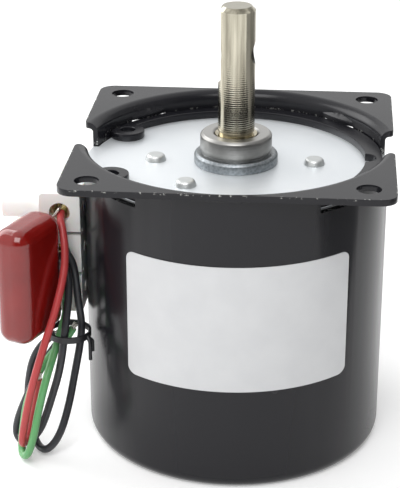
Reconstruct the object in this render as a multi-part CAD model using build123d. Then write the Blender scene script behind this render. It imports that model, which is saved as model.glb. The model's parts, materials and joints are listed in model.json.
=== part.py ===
from build123d import *
import math
import os

# Flange-mounted synchronous gear motor. Millimetres, +Z up along the output shaft.
# The origin is the centre of the can's floor. Anticlockwise angles are seen from above.

# ---- can: drawn steel cup whose mouth is turned out into a square flange
can_r = 29.1
can_wall = 0.9
can_height = 60.0
can_floor_bend_r = 2.3
can_mouth_bend_r = 1.9
flange_size = 60.0
flange_thickness = 1.2
flange_corner_r = 3.0
bolt_pitch = 50.0
bolt_hole_r = 2.25
notch_width = 12.0
notch_corner_r = 1.1

# ---- lances: tabs struck inwards through the wall, which the retaining ring snaps under
lance_front_angle = 46.4
lance_back_angle = 133.2
lance_arc = 17.3
lance_slot_height = 2.1
lance_depth = 0.7
lance_band = 0.9
lance_gap = 0.03

# ---- front plate, closing the can under its mouth
plate_depth = 4.8
plate_thickness = 2.0
plate_rim_gap = 0.2
plate_tab_gap = 0.1

# ---- retaining ring: internal circlip, open at the -X side
ring_thickness = 1.5
ring_rim_gap = 0.15
ring_width = 2.75
ring_bore_shift = 0.6
ring_lug_r = 3.35
ring_lug_hole_r = 1.45
ring_lug_inset = 2.5
ring_lug_angle = 151.4
ring_notch_r = 2.0

# ---- gear case: inner cup that carries the lower ends of the arbors
case_wall = 0.8
case_floor = 1.2
gearbox_height = 23.1
slip = 0.1

# ---- stator: two can-stack units, each a cup, a plate, a bobbin and a winding
stator_sheet = 1.2
stator_wall = 1.0
stator_bend_r = 1.5
claws_per_plate = 6
claw_root = 5.5
claw_tip = 3.0
claw_end_gap = 1.0
claw_wall = 1.0
unit_turn = 15.0
bobbin_wall = 1.0
bobbin_flange = 0.9
bobbin_rim_gap = 0.6
winding_inset = 1.0

# ---- rotor
rotor_shaft_r = 1.0
rotor_shaft_rise = 8.0
magnet_r = 12.4
magnet_wall = 3.4
magnet_end_inset = 2.0
magnet_gap = 0.6
hub_core_r = 3.0
hub_rim_wall = 1.5
hub_web = 3.0
bush_r = 3.0
bush_flange_r = 4.0
bush_height = 4.0
bush_flange = 1.4
bush_sump = 1.0

# ---- gear train: three stages of 20 degree spur gears
pressure_angle = math.radians(20)
dedendum = 1.25
backlash = 0.09
rotor_teeth = 16
wheel_1_teeth = 40
pinion_1_teeth = 18
wheel_2_teeth = 36
pinion_2_teeth = 24
output_teeth = 40
wheel_1_rim_gap = 0.35
wheel_2_rim_gap = 0.85
arbor_1_angle = 181.9
arbor_r = 1.5
spigot_r = 1.2
pinion_hub_r = 3.0
gear_face = 4.0
level_gap = 2.0
level_1_rise = 2.9
output_face = 4.3
end_play = 0.1
running_gap = 0.03
spacer_wall = 0.9
wheel_rim = 1.6
wheel_recess = 1.0

# ---- rivet heads on the plate, and the pillar between case and plate
rivet_head_r = 2.05
rivet_top_r = 1.65
rivet_head = 1.2
rivet_round = 0.7
pillar_r = 2.2
pillar_x = 15.0
pillar_y = -0.3

# ---- output bushing: turned steel, pressed in the plate
bushing_flange_r = 8.0
bushing_flange = 2.1
boss_r = 6.85
boss_rise = 6.0
boss_groove = 0.3
boss_groove_height = 0.5
bushing_spigot_r = 6.0
bushing_tail_r = 5.0
bushing_tail = 3.0
bushing_chamfer = 0.5

# ---- output shaft
shaft_r = 3.5
shaft_tip_z = 85.8
shaft_seat_r = 3.0
journal_r = 4.0
journal_below_mouth = 0.2
undercut_depth = 0.2
undercut_width = 0.6
shaft_tip_chamfer = 0.8
shaft_seam_angle = 112.5
flat_length = 15.0
flat_depth = 0.6
cross_hole_r = 1.65
cross_hole_below_tip = 9.0
cross_hole_sink = 0.6
washer_r = 5.0
washer_thickness = 0.4
clip_r = 4.6
clip_thickness = 0.7
clip_groove_depth = 0.5
clip_mouth = 4.0
shaft_tail = 1.0

# ---- terminal block: moulded nylon, three ways one above another
way_count = 3
way_pitch = 8.4
way_height = 7.7
way_top_below_flange = 9.4
block_depth = 7.85
block_half_width = 8.5
block_edge_r = 0.8
neck_inset = 2.0
neck_half_width = 6.0
tower_length = 7.5
tower_r = 2.6
tower_bore_r = 1.6
tower_half_pitch = 4.5
insert_depth = 3.9
insert_r = 2.0
insert_bore_r = 1.3
insert_half_length = 7.0
terminal_screw_r = 1.2
terminal_head_r = 1.5
terminal_head = 1.6
terminal_screw_length = 7.6
screw_slot = 0.5
block_screw_r = 1.2
block_head_r = 2.2
block_head = 1.3
block_gap = 0.05
core_hole_r = 1.1

# ---- dipped film capacitor, standing beside the block on its two legs
cap_height = 23.1
cap_length = 14.2
cap_thickness = 7.5
cap_edge_r = 3.0
cap_end_r = 2.7
cap_from_can = 8.75
cap_y = -16.7
cap_base_z = 25.2
cap_turn = 68.0
cap_leg_r = 0.3
cap_leg_rise = 0.9
cap_leg_stub = 0.9

# ---- label: printed film on the can's front
label_width = 45.0
label_height = 25.0
label_base_z = 20.8
label_angle = -85.1
label_corner_r = 1.5
label_thickness = 0.15
label_gap = 0.03

# ---- leads: single insulated wires, folded into a hank held by a twist tie
# Places of the leads and the tie are measured from the can's -X side.
lead_r = 0.75
bend_share = 0.45
tie_thickness = 0.4
tie_height = 1.2
tie_out = 1.9
tie_y = -14.1
tie_z = 24.4
tie_half_x = 4.3
tie_half_y = 4.2
tie_turn = -24.0
tie_tail_r = 0.35
tie_tail_drops = (4.6, 3.1)
tie_tail_gap = 0.9
red_route = [
    (-3.8, -7.3, 46.3), (-3.7, -9.6, 46.1), (-3.0, -11.2, 44.7), (-2.3, -13.1, 41.5),
    (-2.2, -15.0, 37.6), (-3.5, -18.4, 31.2), (-5.6, -21.6, 24.6), (-7.5, -22.9, 18.2),
    (-8.8, -23.2, 12.8), (-9.7, -23.4, 8.2), (-10.3, -23.3, 4.6), (-10.1, -21.5, 3.5),
    (-9.5, -19.7, 4.4), (-8.8, -19.3, 8.2), (-7.9, -18.8, 12.2), (-7.3, -18.9, 16.3),
]
green_route = [
    (-3.6, -7.1, 29.8), (-3.2, -9.9, 29.7), (-2.5, -12.4, 28.0), (-3.5, -15.1, 24.4),
    (-4.5, -16.3, 21.0), (-5.5, -21.3, 17.5), (-7.0, -22.4, 11.1), (-7.8, -24.0, 6.3),
    (-9.1, -23.9, 2.2), (-10.6, -21.8, 1.0), (-11.1, -19.7, 2.6), (-10.8, -18.8, 6.0),
    (-10.0, -18.2, 10.9), (-8.0, -17.3, 16.4), (-5.2, -15.0, 20.2), (-2.8, -13.8, 22.2),
    (-1.2, -13.8, 25.0),
]
black_1_route = [
    (-4.3, -7.1, 37.4), (-3.7, -9.7, 37.3), (-2.1, -12.2, 36.3), (-1.7, -13.8, 32.6),
    (-2.2, -16.4, 26.3), (-3.1, -18.3, 18.6), (-5.1, -18.7, 11.8), (-7.0, -19.1, 5.9),
    (-9.1, -18.7, 2.9), (-11.3, -17.5, 1.3), (-12.9, -16.2, 2.4), (-12.6, -15.7, 5.4),
    (-10.9, -15.8, 9.8), (-8.4, -15.3, 15.3), (-5.9, -13.6, 19.5), (-4.1, -12.2, 21.6),
]
black_2_route = [
    (-3.6, -7.1, 39.0), (-2.9, -9.4, 39.2), (-1.3, -10.6, 37.4), (-0.8, -10.9, 33.7),
    (-0.4, -11.4, 29.6), (0.3, -11.8, 25.0), (-0.1, -13.0, 20.8), (-1.0, -14.4, 15.8),
    (-2.0, -16.6, 9.7), (-3.5, -19.4, 4.3), (-5.9, -20.5, 1.4), (-8.2, -18.0, 0.9),
    (-9.7, -15.6, 3.0), (-10.7, -14.0, 7.6), (-10.6, -13.2, 12.6), (-9.5, -12.8, 17.9),
    (-7.0, -12.4, 21.5), (-4.9, -12.5, 23.0),
]

# ---- length of the cutters that pass right through a piece
cutter = 100.0

# ---- levels and places that follow from the sizes above
can_ri = can_r - can_wall
flange_base = can_height - flange_thickness
plate_top = can_height - plate_depth
plate_bottom = plate_top - plate_thickness
case_top = plate_bottom - gearbox_height
case_base = case_top - case_floor
unit_0 = can_wall
unit_height = (case_base - unit_0) / 2
unit_1 = unit_0 + unit_height
stack_r = can_ri - slip
case_ri = stack_r - case_wall
bobbin_flange_r = stack_r - stator_wall - bobbin_rim_gap
winding_r = bobbin_flange_r - winding_inset
claw_length = unit_height - 2 * stator_sheet - claw_end_gap
rotor_gap = magnet_r + magnet_gap
magnet_length = 2 * (unit_height - magnet_end_inset)
bushing_top = plate_top + boss_rise
tail_z = plate_bottom - bushing_tail
washer_z = tail_z - end_play - washer_thickness
output_z = washer_z - output_face
clip_z = output_z - clip_thickness
shaft_base = clip_z - shaft_tail
level_1 = case_top + level_1_rise
level_2 = level_1 + gear_face + level_gap
module_fine = (case_ri - wheel_1_rim_gap) / (rotor_teeth / 2 + wheel_1_teeth + 1)
wheel_2_tip_r = (wheel_2_teeth / 2 + 1) * module_fine
module_output = 2 * (case_ri - wheel_2_rim_gap - wheel_2_tip_r) / (pinion_2_teeth + output_teeth)
arbor_1_reach = (rotor_teeth + wheel_1_teeth) * module_fine / 2
arbor_12 = (pinion_1_teeth + wheel_2_teeth) * module_fine / 2
arbor_2_reach = (pinion_2_teeth + output_teeth) * module_output / 2
way_top = can_height - way_top_below_flange
way_1_z = way_top - way_height / 2
slot_top = plate_top + ring_thickness + lance_gap
block_back_x = -can_r - block_gap
block_front_x = block_back_x - block_depth
neck_front_x = block_front_x + neck_inset
insert_x = block_front_x + insert_depth
lead_start = Pos(-can_r, 0, 0)


def polar(radius, degrees):
    """Point at a radius and an angle round the motor's axis."""
    angle = math.radians(degrees)
    return (radius * math.cos(angle), radius * math.sin(angle))


def arbor_2_angle():
    """Angle of the second arbor, which lies at two centre distances at once."""
    cosine = (arbor_1_reach**2 + arbor_2_reach**2 - arbor_12**2)
    cosine = cosine / (2 * arbor_1_reach * arbor_2_reach)
    return arbor_1_angle + math.degrees(math.acos(cosine))


arbor_1 = polar(arbor_1_reach, arbor_1_angle)
arbor_2 = polar(arbor_2_reach, arbor_2_angle())
pillar = (pillar_x, pillar_y)


def half_profile(*points):
    """Face in the XZ plane from (radius, height) points."""
    return make_face(Plane.XZ * Polyline(*points, close=True))


def turned(*points):
    """Solid of revolution round Z from (radius, height) points."""
    return revolve(half_profile(*points), Axis.Z)


def soften(face, x, z, radius):
    """Round the corner of an XZ profile that lies nearest to (x, z)."""
    corner = face.vertices().sort_by_distance(Vector(x, 0, z))[0]
    return fillet(corner, radius)


def tube(outer_r, inner_r, z0, z1):
    """Plain ring between two heights."""
    return turned((inner_r, z0), (outer_r, z0), (outer_r, z1), (inner_r, z1))


def rod(radius, z0, z1):
    """Plain round bar between two heights."""
    return turned((0, z0), (radius, z0), (radius, z1), (0, z1))


def arc_of(face, middle, degrees):
    """Sweep an XZ profile round Z through an arc centred on an angle."""
    return Rot(0, 0, middle - degrees / 2) * revolve(face, Axis.Z, degrees)


# ------------------------------------------------------------------ casing

def flange_outline():
    """Square outline of the flange with its two open notches."""
    outline = RectangleRounded(flange_size, flange_size, flange_corner_r)
    for side in (-1, 1):
        outline -= Pos(side * flange_size / 2, 0) * Rectangle(flange_size / 4, notch_width)
    edge_x = flange_size / 2 - can_wall / 2
    mouths = [v for v in outline.vertices() if abs(v.X) > edge_x and abs(v.Y) < notch_width]
    return fillet(mouths, notch_corner_r)


def lance_angles():
    """Middles of the four lances, mirrored front to back."""
    return [side * a for side in (-1, 1) for a in (lance_front_angle, lance_back_angle)]


def lance_slot():
    """Slot through the wall, level with the ring that snaps in behind it."""
    inside = can_ri - can_wall
    outside = can_r + can_wall
    base = slot_top - lance_slot_height
    return half_profile((inside, base), (outside, base), (outside, slot_top), (inside, slot_top))


def lance_pillow(inset):
    """Round pillow that bows the wall in above the slot and slopes back to it on top."""
    half = math.radians(lance_arc / 2)
    bow = lance_depth - can_ri * (1 - math.cos(half))
    radius = ((can_ri * math.sin(half)) ** 2 + bow**2) / (2 * bow)
    band_top = slot_top + lance_band
    face_r = radius - inset
    pillow = turned(
        (0, slot_top), (face_r, slot_top), (face_r, band_top),
        (face_r - lance_depth, band_top + lance_depth), (0, band_top + lance_depth),
    )
    return Pos(can_ri - lance_depth + radius, 0, 0) * pillow


def can():
    """Drawn cup, flange, notches, bolt holes, lances and block screw holes."""
    reach = flange_size
    sheet = half_profile(
        (0, 0), (can_r, 0), (can_r, flange_base), (reach, flange_base),
        (reach, can_height), (can_ri, can_height), (can_ri, can_wall), (0, can_wall),
    )
    sheet = soften(sheet, can_r, 0, can_floor_bend_r)
    sheet = soften(sheet, can_ri, can_wall, can_floor_bend_r - can_wall)
    sheet = soften(sheet, can_ri, can_height, can_mouth_bend_r)
    sheet = soften(sheet, can_r, flange_base, can_mouth_bend_r - flange_thickness)
    shell = revolve(sheet, Axis.Z)
    around = Rectangle(2 * reach, 2 * reach) - flange_outline()
    shell -= Pos(0, 0, plate_bottom) * extrude(around, can_height)
    for x, y in [(sx, sy) for sx in (-1, 1) for sy in (-1, 1)]:
        place = Pos(x * bolt_pitch / 2, y * bolt_pitch / 2, can_height)
        shell -= place * Cylinder(bolt_hole_r, 2 * can_mouth_bend_r)
    for angle in lance_angles():
        shell -= arc_of(lance_slot(), angle, lance_arc)
        shell += Rot(0, 0, angle) * (lance_pillow(0) & rod(can_r, slot_top, can_height))
        shell -= Rot(0, 0, angle) * lance_pillow(can_wall)
    for z in block_screw_heights():
        shell -= Pos(-can_r, 0, z) * Rot(0, 90, 0) * Cylinder(block_screw_r, 4 * can_wall)
    return shell


def front_plate():
    """Blanked steel disc with two tabs that fill the can's notches."""
    disc = Circle(can_ri - plate_rim_gap)
    tabs = Rectangle(2 * can_r, notch_width - 2 * plate_tab_gap) & Circle(can_r)
    blank = disc + tabs - Circle(bushing_spigot_r)
    for x, y in (arbor_1, arbor_2, pillar):
        blank -= Pos(x, y) * Circle(spigot_r)
    return Pos(0, 0, plate_bottom) * extrude(blank, plate_thickness)


def retaining_ring():
    """Circlip: eccentric band, two lugs with plier holes, a notch opposite the gap."""
    outer_r = can_ri - ring_rim_gap
    bore_r = outer_r - ring_width
    lug_place_r = outer_r - ring_lug_inset
    band = Circle(outer_r) - Pos(-ring_bore_shift, 0) * Circle(bore_r)
    end = polar(2 * outer_r, ring_lug_angle)
    mouth = make_face(Polyline((0, 0), end, (end[0], -end[1]), close=True))
    band -= mouth
    for side in (-1, 1):
        x, y = polar(lug_place_r, side * ring_lug_angle)
        band += Pos(x, y) * Circle(ring_lug_r) & Circle(outer_r)
    for side in (-1, 1):
        x, y = polar(lug_place_r, side * ring_lug_angle)
        band -= Pos(x, y) * Circle(ring_lug_hole_r)
    band -= Pos(bore_r - ring_bore_shift, 0) * Circle(ring_notch_r)
    return Pos(0, 0, plate_top) * extrude(band, ring_thickness)


def output_bushing():
    """Flanged bushing: boss above the plate, spigot through it, tail below it."""
    bore = journal_r + running_gap
    flange_z = plate_top + bushing_flange
    neck_r = boss_r - boss_groove
    neck_z = flange_z + boss_groove_height
    return turned(
        (bore, tail_z), (bushing_tail_r, tail_z), (bushing_tail_r, plate_bottom),
        (bushing_spigot_r, plate_bottom), (bushing_spigot_r, plate_top),
        (bushing_flange_r, plate_top), (bushing_flange_r, flange_z - bushing_chamfer),
        (bushing_flange_r - bushing_chamfer, flange_z), (neck_r, flange_z), (neck_r, neck_z),
        (boss_r, neck_z), (boss_r, bushing_top - bushing_chamfer),
        (boss_r - bushing_chamfer, bushing_top), (bore + bushing_chamfer, bushing_top),
        (bore, bushing_top - bushing_chamfer),
    )


def gear_case():
    """Drawn cup between the stator and the plate, pierced for the bush and the posts."""
    cup = half_profile(
        (0, case_base), (stack_r, case_base), (stack_r, plate_bottom),
        (case_ri, plate_bottom), (case_ri, case_top), (0, case_top),
    )
    cup = soften(cup, stack_r, case_base, stator_bend_r)
    shell = revolve(cup, Axis.Z)
    shell -= rod(bush_r, case_base, case_top)
    for x, y in (arbor_1, arbor_2, pillar):
        shell -= Pos(x, y) * rod(spigot_r, case_base, case_top)
    return shell


def post(place, body_r):
    """Post between case and plate: turned spigots, the upper one headed like a rivet."""
    head_top = plate_top + rivet_head
    profile = half_profile(
        (0, case_base), (spigot_r, case_base), (spigot_r, case_top), (body_r, case_top),
        (body_r, plate_bottom), (spigot_r, plate_bottom), (spigot_r, plate_top),
        (rivet_head_r, plate_top), (rivet_top_r, head_top), (0, head_top),
    )
    profile = soften(profile, rivet_top_r, head_top, rivet_round)
    return Pos(*place) * revolve(profile, Axis.Z)


def gear_arbors():
    """The two fixed arbors that the compound gears turn on."""
    return Compound(children=[post(arbor_1, arbor_r).solid(), post(arbor_2, arbor_r).solid()])


def plate_pillar():
    """Third post, which holds the plate square on the case."""
    return post(pillar, pillar_r)


def arbor_spacers():
    """Loose tubes that keep each compound gear at its level."""
    inner = arbor_r + running_gap
    outer = inner + spacer_wall
    above = tube(outer, inner, level_2 + gear_face + end_play, plate_bottom - end_play)
    below = tube(outer, inner, case_top, level_2 - end_play)
    return Compound(children=[(Pos(*arbor_1) * above).solid(), (Pos(*arbor_2) * below).solid()])


# ------------------------------------------------------------------ stator

def claws(root_z, direction, first):
    """Tapered claws that stand on a disc's inner edge, pointing up (1) or down (-1)."""
    tip_z = root_z + direction * claw_length
    ring = tube(rotor_gap + claw_wall, rotor_gap, min(root_z, tip_z), max(root_z, tip_z))
    blade = make_face(Plane.YZ * Polyline(
        (-claw_root / 2, root_z), (claw_root / 2, root_z),
        (claw_tip / 2, tip_z), (-claw_tip / 2, tip_z), close=True,
    ))
    blade = extrude(blade, 2 * rotor_gap, dir=(1, 0, 0))
    step = 360 / claws_per_plate
    group = [Rot(0, 0, first + step * i) * blade & ring for i in range(claws_per_plate)]
    return group


def claw_cup(base, direction, first):
    """Outer cup of a unit: disc, wall and claws; direction 1 opens upwards."""
    far = base + direction * (unit_height - stator_sheet)
    near = base + direction * stator_sheet
    cup = half_profile(
        (rotor_gap, base), (stack_r, base), (stack_r, far), (stack_r - stator_wall, far),
        (stack_r - stator_wall, near), (rotor_gap, near),
    )
    cup = soften(cup, stack_r, base, stator_bend_r)
    shape = revolve(cup, Axis.Z)
    for claw in claws(near, direction, first):
        shape += claw
    return shape


def claw_plate(base, direction, first):
    """Flat plate that closes a unit; its claws point into the cup."""
    near = base + direction * stator_sheet
    shape = tube(stack_r, rotor_gap, min(base, near), max(base, near))
    for claw in claws(near, direction, first):
        shape += claw
    return shape


def half_step():
    """Angle between a cup's claws and its plate's claws."""
    return 180 / claws_per_plate


def bobbin(base):
    """Moulded spool round the claws of a unit."""
    z0 = base + stator_sheet
    z1 = base + unit_height - stator_sheet
    inner = rotor_gap + claw_wall + slip
    barrel = inner + bobbin_wall
    return turned(
        (inner, z0), (bobbin_flange_r, z0), (bobbin_flange_r, z0 + bobbin_flange),
        (barrel, z0 + bobbin_flange), (barrel, z1 - bobbin_flange),
        (bobbin_flange_r, z1 - bobbin_flange), (bobbin_flange_r, z1), (inner, z1),
    )


def winding(base):
    """Enamelled wire, wound as one ring on a bobbin."""
    barrel = rotor_gap + claw_wall + slip + bobbin_wall
    z0 = base + stator_sheet + bobbin_flange
    z1 = base + unit_height - stator_sheet - bobbin_flange
    return tube(winding_r, barrel, z0, z1)


# ------------------------------------------------------------------ rotor

def rotor_bush_lower():
    """Blind bush on the can's floor; the rotor shaft stands in it."""
    z0 = can_wall
    sump = z0 + bush_sump
    bore = rotor_shaft_r + running_gap
    return turned(
        (0, z0), (bush_flange_r, z0), (bush_flange_r, z0 + bush_flange),
        (bush_r, z0 + bush_flange), (bush_r, z0 + bush_height), (bore, z0 + bush_height),
        (bore, sump), (0, sump),
    )


def rotor_bush_upper():
    """Flanged bush pressed in the gear case's floor."""
    bore = rotor_shaft_r + running_gap
    z0 = case_top + bush_flange - bush_height
    return turned(
        (bore, z0), (bush_r, z0), (bush_r, case_top), (bush_flange_r, case_top),
        (bush_flange_r, case_top + bush_flange), (bore, case_top + bush_flange),
    )


def magnet_base():
    """Lower end of the magnet, centred in the stator."""
    return unit_1 - magnet_length / 2


def rotor_shaft():
    """Ground steel pin through the rotor."""
    z0 = can_wall + bush_sump + end_play
    return rod(rotor_shaft_r, z0, case_top + rotor_shaft_rise)


def rotor_hub():
    """Moulded spool that carries the magnet on the shaft."""
    rim_r = magnet_r - magnet_wall
    inner_r = rim_r - hub_rim_wall
    z0 = magnet_base()
    z1 = z0 + magnet_length
    core_0 = can_wall + bush_height + end_play
    core_1 = case_top + bush_flange - bush_height - end_play
    web_0 = unit_1 - hub_web / 2
    web_1 = unit_1 + hub_web / 2
    return turned(
        (rotor_shaft_r, core_0), (hub_core_r, core_0), (hub_core_r, web_0), (inner_r, web_0),
        (inner_r, z0), (rim_r, z0), (rim_r, z1), (inner_r, z1), (inner_r, web_1),
        (hub_core_r, web_1), (hub_core_r, core_1), (rotor_shaft_r, core_1),
    )


def rotor_magnet():
    """Ferrite ring."""
    z0 = magnet_base()
    return tube(magnet_r, magnet_r - magnet_wall, z0, z0 + magnet_length)


# ------------------------------------------------------------------ gear train

def involute(base_r, radius):
    """Polar angle that an involute has turned through at a radius."""
    roll = math.sqrt(max(radius / base_r, 1) ** 2 - 1)
    return roll - math.atan(roll)


def gear(teeth, module, z0, z1, bore_r, phase):
    """Spur gear; phase is the angle in radians of the middle of one tooth."""
    pitch_r = teeth * module / 2
    base_r = pitch_r * math.cos(pressure_angle)
    flank = (pitch_r - dedendum * module, pitch_r, pitch_r + module)
    at_pitch = (math.pi * module / 2 - backlash) / (2 * pitch_r) + involute(base_r, pitch_r)
    outline = []
    for tooth in range(teeth):
        middle = phase + 2 * math.pi * tooth / teeth
        rising = [(r, middle - at_pitch + involute(base_r, r)) for r in flank]
        falling = [(r, middle + at_pitch - involute(base_r, r)) for r in reversed(flank)]
        outline += [(r * math.cos(a), r * math.sin(a)) for r, a in rising + falling]
    blank = make_face(Polyline(*outline, close=True)) - Circle(bore_r)
    return Pos(0, 0, z0) * extrude(blank, z1 - z0)


def wheel(teeth, module, z0, phase):
    """Wheel on a pinion's hub, with a shallow recess in its upper face."""
    blank = gear(teeth, module, z0, z0 + gear_face, pinion_hub_r, phase)
    recess_r = (teeth / 2 - dedendum) * module - wheel_rim
    top = z0 + gear_face
    return blank - tube(recess_r, pinion_hub_r + wheel_rim, top - wheel_recess, top)


def meshing(phase, direction, teeth, next_teeth):
    """Phase of a gear that meshes with another one at a direction in radians."""
    turn = (phase - direction) * teeth / next_teeth
    return direction + math.pi - turn + math.pi / next_teeth


def heading(start, end):
    """Direction in radians from one centre to another."""
    return math.atan2(end[1] - start[1], end[0] - start[0])


def rotor_pinion():
    """Pinion pressed on the rotor shaft."""
    z0 = level_1 - end_play
    return gear(rotor_teeth, module_fine, z0, z0 + gear_face, rotor_shaft_r, 0)


def gear_1_wheel():
    """First wheel, driven by the rotor pinion."""
    phase = meshing(0, heading((0, 0), arbor_1), rotor_teeth, wheel_1_teeth)
    return Pos(*arbor_1) * wheel(wheel_1_teeth, module_fine, level_1, phase)


def gear_1_pinion():
    """First pinion, with the long hub that the first wheel is staked on."""
    bore = arbor_r + running_gap
    z0 = level_1 + gear_face
    teeth = gear(pinion_1_teeth, module_fine, z0, level_2 + gear_face, bore, 0)
    hub = tube(pinion_hub_r, bore, case_top + end_play, z0)
    return Pos(*arbor_1) * (teeth + hub)


def gear_2_wheel():
    """Second wheel, driven by the first pinion."""
    phase = meshing(0, heading(arbor_1, arbor_2), pinion_1_teeth, wheel_2_teeth)
    return Pos(*arbor_2) * wheel(wheel_2_teeth, module_fine, level_2, phase)


def gear_2_pinion():
    """Second pinion, reaching up to the output gear, with hubs below and above."""
    bore = arbor_r + running_gap
    z0 = level_2 + gear_face
    teeth = gear(pinion_2_teeth, module_output, z0, washer_z, bore, 0)
    lower = tube(pinion_hub_r, bore, level_2, z0)
    upper = tube(pinion_hub_r, bore, washer_z, plate_bottom - end_play)
    return Pos(*arbor_2) * (teeth + lower + upper)


def output_gear():
    """Hardened gear pressed on the output shaft."""
    phase = meshing(0, heading(arbor_2, (0, 0)), pinion_2_teeth, output_teeth)
    return gear(output_teeth, module_output, output_z, washer_z, shaft_seat_r, phase)


def cross_hole():
    """Hole along X through the shaft, countersunk on the flat and on the far side."""
    flat_x = flat_depth - shaft_r
    mouth_r = cross_hole_r + cross_hole_sink
    bore = turned(
        (0, flat_x), (mouth_r, flat_x), (cross_hole_r, flat_x + cross_hole_sink),
        (cross_hole_r, shaft_r - cross_hole_sink), (mouth_r, shaft_r), (0, shaft_r),
    )
    return Pos(0, 0, shaft_tip_z - cross_hole_below_tip) * Rot(0, 90, 0) * bore


def output_shaft():
    """Output shaft: D flat, cross hole, journal, gear seat and clip groove. Its seam clears flat and hole."""
    groove_r = shaft_seat_r - clip_groove_depth
    seat_top = tail_z - end_play
    journal_top = bushing_top - journal_below_mouth
    undercut_r = shaft_r - undercut_depth
    undercut_top = journal_top + undercut_width
    shape = turned(
        (0, shaft_base), (shaft_seat_r, shaft_base), (shaft_seat_r, clip_z),
        (groove_r, clip_z), (groove_r, output_z), (shaft_seat_r, output_z),
        (shaft_seat_r, seat_top), (journal_r, seat_top), (journal_r, journal_top),
        (undercut_r, journal_top), (undercut_r, undercut_top), (shaft_r, undercut_top),
        (shaft_r, shaft_tip_z - shaft_tip_chamfer),
        (shaft_r - shaft_tip_chamfer, shaft_tip_z), (0, shaft_tip_z),
    )
    shape = Rot(0, 0, shaft_seam_angle) * shape
    flat = Box(shaft_r, cutter, flat_length, align=(Align.MAX, Align.CENTER, Align.MAX))
    shape -= Pos(flat_depth - shaft_r, 0, shaft_tip_z) * flat
    return shape - cross_hole()


def output_washer():
    """Thrust washer between the output gear and the bushing's tail."""
    return tube(washer_r, shaft_seat_r, washer_z, washer_z + washer_thickness)


def output_clip():
    """Open clip in the shaft's groove, under the output gear."""
    groove_r = shaft_seat_r - clip_groove_depth
    ring = Circle(clip_r) - Circle(groove_r)
    ring -= Pos(clip_r, 0) * Rectangle(2 * clip_r, clip_mouth)
    return Pos(0, 0, clip_z) * extrude(ring, clip_thickness)


# ------------------------------------------------------------------ terminal block

def way_heights():
    """Heights of the ways' centres, from the top one down."""
    return [way_1_z - way_pitch * i for i in range(way_count)]


def block_screw_heights():
    """The fixing screws pass through the necks between the ways."""
    return [z - way_pitch / 2 for z in way_heights()[:-1]]


def across(radius, x0, x1, y, z):
    """Round bar along X."""
    length = x1 - x0
    return Pos((x0 + x1) / 2, y, z) * Rot(0, 90, 0) * Cylinder(radius, length)


def terminal_block():
    """Three moulded ways joined by necks, two screw towers on each, flat at the back."""
    tower_x = block_front_x - tower_length
    middle_x = (block_back_x + block_front_x) / 2
    shape = None
    for z in way_heights():
        way = Pos(middle_x, 0, z) * Box(block_depth, 2 * block_half_width, way_height)
        way = fillet(way.edges().filter_by(Axis.Y).group_by(Axis.X)[0], block_edge_r)
        for side in (-1, 1):
            way += across(tower_r, tower_x, block_front_x + block_edge_r, side * tower_half_pitch, z)
        shape = way if shape is None else shape + way
    neck_depth = block_back_x - neck_front_x
    neck_x = (block_back_x + neck_front_x) / 2
    for z in block_screw_heights():
        shape += Pos(neck_x, 0, z) * Box(neck_depth, 2 * neck_half_width, way_pitch)
    for z in way_heights():
        shape -= Pos(insert_x, 0, z) * Rot(90, 0, 0) * Cylinder(insert_r, cutter)
        for side in (-1, 1):
            shape -= across(tower_bore_r, tower_x, insert_x, side * tower_half_pitch, z)
            shape -= across(core_hole_r, insert_x, block_back_x, side * tower_half_pitch, z)
    for z in block_screw_heights():
        shape -= across(block_screw_r, neck_front_x, 0, 0, z)
        shape -= across(block_head_r + slip, block_front_x, neck_front_x, 0, z)
    return shape


def terminal_inserts():
    """Brass barrels in the block, cross-drilled for the terminal screws."""
    barrels = []
    for z in way_heights():
        bar = Cylinder(insert_r, 2 * insert_half_length) - Cylinder(insert_bore_r, cutter)
        barrel = Pos(insert_x, 0, z) * Rot(90, 0, 0) * bar
        for side in (-1, 1):
            y = side * tower_half_pitch
            barrel -= across(terminal_screw_r, insert_x - 2 * insert_r, insert_x, y, z)
        barrels.append(barrel.solid())
    return Compound(children=barrels)


def slotted_screw(head_r, head, shank_r, length):
    """Cheese-head screw along +X with the underside of its head at the origin."""
    shape = across(head_r, -head, 0, 0, 0) + across(shank_r, 0, length, 0, 0)
    return shape - Pos(-head, 0, 0) * Box(head, cutter, screw_slot)


def terminal_screws():
    """Six clamping screws, two to each way, down in the towers."""
    tip_x = insert_x - insert_bore_r
    screws = []
    for z in way_heights():
        for side in (-1, 1):
            screw = slotted_screw(terminal_head_r, terminal_head, terminal_screw_r, terminal_screw_length)
            place = Pos(tip_x - terminal_screw_length, side * tower_half_pitch, z)
            screws.append((place * screw).solid())
    return Compound(children=screws)


def block_screws():
    """Two screws that fix the block to the can."""
    length = -can_ri - neck_front_x
    screw = slotted_screw(block_head_r, block_head, block_screw_r, length)
    return Compound(children=[(Pos(neck_front_x, 0, z) * screw).solid() for z in block_screw_heights()])


def capacitor():
    """Epoxy-dipped body with rounded edges."""
    body = extrude(RectangleRounded(cap_length, cap_thickness, cap_edge_r), cap_height)
    rims = body.edges().group_by(Axis.Z)
    body = fillet(rims[0] + rims[-1], cap_end_r)
    return Pos(-can_r - cap_from_can, cap_y, cap_base_z) * Rot(0, 0, cap_turn) * body


def round_wire(points, radius, bends):
    """Wire of round section along straight runs with a bend at each inner point."""
    path = FilletPolyline(*points, radius=bends)
    start = Plane(origin=points[0], z_dir=Vector(points[1]) - Vector(points[0]))
    return sweep(start * Circle(radius), path=path)


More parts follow.
